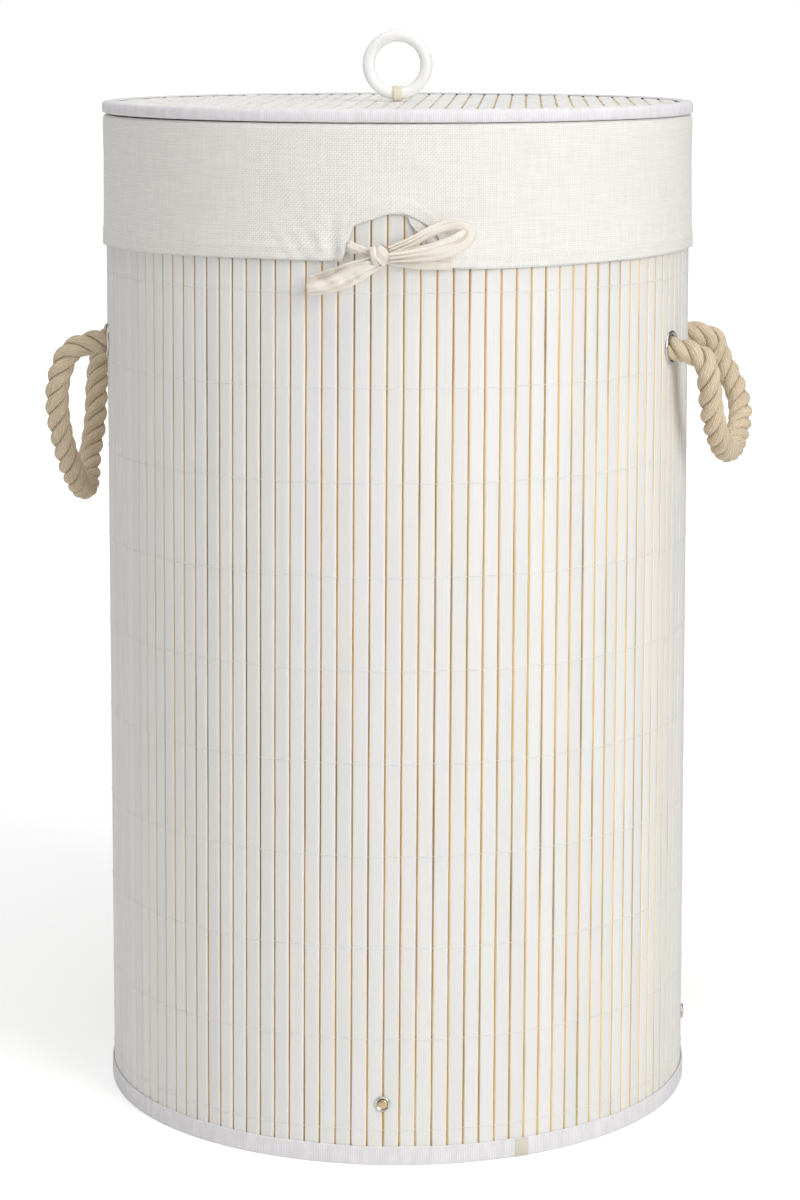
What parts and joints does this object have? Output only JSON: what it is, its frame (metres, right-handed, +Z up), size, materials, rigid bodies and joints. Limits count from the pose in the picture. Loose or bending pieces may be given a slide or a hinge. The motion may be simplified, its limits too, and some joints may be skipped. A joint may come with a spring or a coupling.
{
  "type": "laundry hamper",
  "caption": "Round bamboo-slat laundry hamper with a lift-out cotton liner, folded cuff and bow tie, rope side handles and a loose lid with a pull ring.",
  "frame": {"origin": "centre of the foot of the wall, on the floor", "axes": "+Z up; -Y is the front, where the cuff is tied; the rope handles are on -X and +X"},
  "size_m": [0.4222, 0.3649, 0.6349],
  "materials": {
    "painted_bamboo": "white paint over flat bamboo, raw tan edges, satin",
    "painted_wood": "smooth white paint, satin",
    "backing_cloth": "thin non-woven cloth",
    "binding_tape": "white ribbed woven tape",
    "sewing_thread": "white cotton thread",
    "hoop_wire": "drawn wire",
    "base_board": "fibreboard",
    "lid_board": "pressed board",
    "screw_brass": "nickel washed brass",
    "nickel": "bright nickel",
    "cotton_rope": "three strand twisted cotton, tan",
    "liner_linen": "off-white linen weave",
    "tie_cotton": "soft natural cotton tape",
    "strap_cotton": "cream cotton tape",
    "strap_button": "plain turned wood"
  },
  "bodies": {
    "hamper": {"base_board": "base_board", "base_screw_cups": "nickel", "base_screws": "screw_brass", "foot_binding": "binding_tape", "left_eyelet_washers": "nickel", "left_eyelets": "nickel", "left_rope_ends": "cotton_rope", "right_eyelet_washers": "nickel", "right_eyelets": "nickel", "right_rope_ends": "cotton_rope", "rim_binding": "binding_tape", "rim_hoop": "hoop_wire", "wall_backing": "backing_cloth", "wall_seam_tape": "binding_tape", "wall_slats_01": "painted_bamboo", "wall_slats_02": "painted_bamboo", "wall_slats_03": "painted_bamboo", "wall_slats_04": "painted_bamboo", "wall_slats_05": "painted_bamboo", "wall_slats_06": "painted_bamboo", "wall_slats_07": "painted_bamboo", "wall_slats_08": "painted_bamboo", "wall_slats_09": "painted_bamboo", "wall_slats_10": "painted_bamboo", "wall_slats_11": "painted_bamboo", "wall_slats_12": "painted_bamboo", "wall_stitching": "sewing_thread"},
    "left_handle": {"left_handle_rope": "cotton_rope"},
    "right_handle": {"right_handle_rope": "cotton_rope"},
    "liner": {"liner_side": "liner_linen", "liner_base": "liner_linen", "cuff_hem": "liner_linen", "notch_facing": "liner_linen", "tie_knot": "tie_cotton", "tie_loop": "tie_cotton", "tie_tail": "tie_cotton", "tie_left_run": "tie_cotton", "tie_right_run": "tie_cotton"},
    "lid": {"lid_slats": "painted_bamboo", "lid_core": "lid_board", "lid_lining": "backing_cloth", "lid_binding": "binding_tape", "lid_stitching": "sewing_thread", "ring_strap": "strap_cotton", "strap_button": "strap_button"},
    "ring": {"pull_ring": "painted_wood"}
  },
  "joints": [
    {"name": "left_handle_swing", "type": "hinge", "parent": "hamper", "child": "left_handle", "pos_m": [-0.18601, 0, 0.452], "axis": [0, 1, 0], "range_deg": [0, 150]},
    {"name": "right_handle_swing", "type": "hinge", "parent": "hamper", "child": "right_handle", "pos_m": [0.18601, 0, 0.452], "axis": [0, -1, 0], "range_deg": [0, 150]},
    {"name": "liner_lift", "type": "slide", "parent": "hamper", "child": "liner", "axis": [0, 0, 1], "range_m": [0, 0.6]},
    {"name": "lid_lift", "type": "slide", "parent": "liner", "child": "lid", "axis": [0, 0, 1], "range_m": [0, 0.2]},
    {"name": "ring_fold", "type": "hinge", "parent": "lid", "child": "ring", "pos_m": [0, 0, 0.5967], "axis": [0.9952, 0.0976, 0], "range_deg": [-88, 88]}
  ]
}
